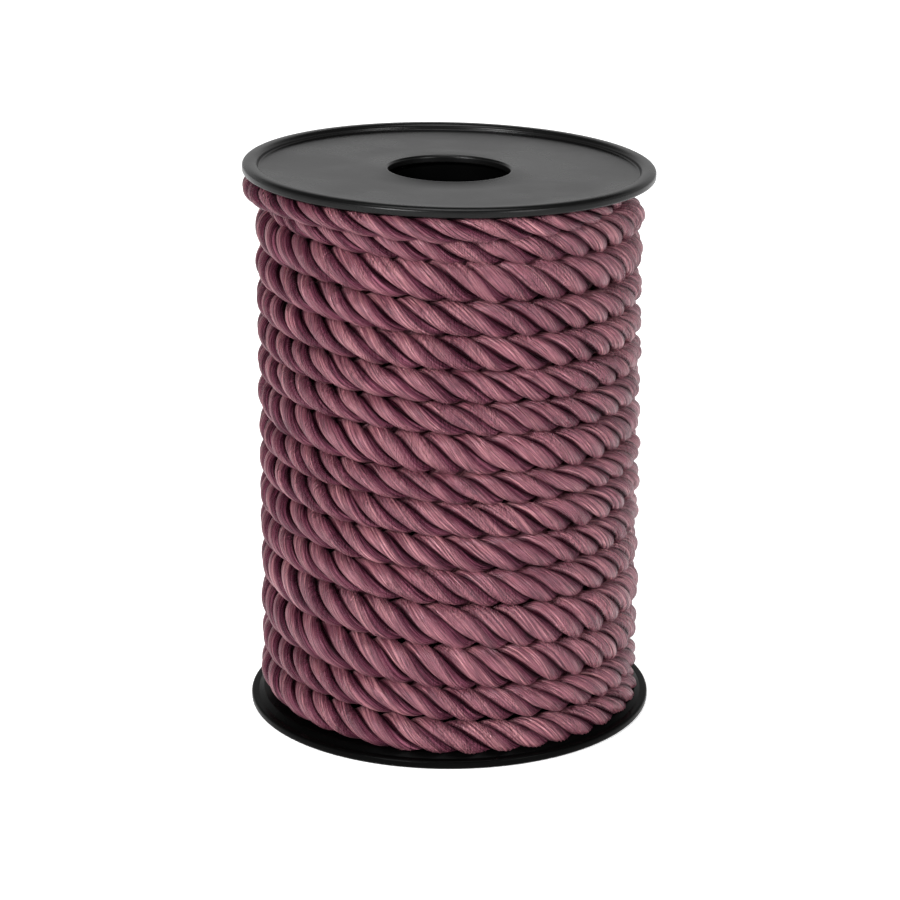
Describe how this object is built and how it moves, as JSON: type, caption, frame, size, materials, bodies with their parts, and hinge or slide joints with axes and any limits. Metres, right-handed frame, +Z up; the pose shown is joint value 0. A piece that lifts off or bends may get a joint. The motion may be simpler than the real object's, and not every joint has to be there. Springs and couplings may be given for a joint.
{
  "type": "twisted cord trim on a spool",
  "caption": "Satin cord of twisted plies wound in even turns on a plain black flanged spool that stands on its lower flange, with an open bore.",
  "frame": {"origin": "on the spool's axis at the underside of the lower flange", "axes": "+Z up along the spool's axis from the lower flange to the upper one, -Y towards the side shown in the picture"},
  "size_m": [0.076, 0.076, 0.1056],
  "materials": {
    "barrel": "satin black moulded plastic",
    "flange_top": "satin black moulded plastic",
    "flange_bottom": "satin black moulded plastic",
    "wound_cord": "dusty mauve satin yarn with a soft sheen"
  },
  "bodies": {
    "root": {"barrel": "barrel", "flange_top": "flange_top", "flange_bottom": "flange_bottom", "wound_cord": "wound_cord"}
  },
  "joints": []
}
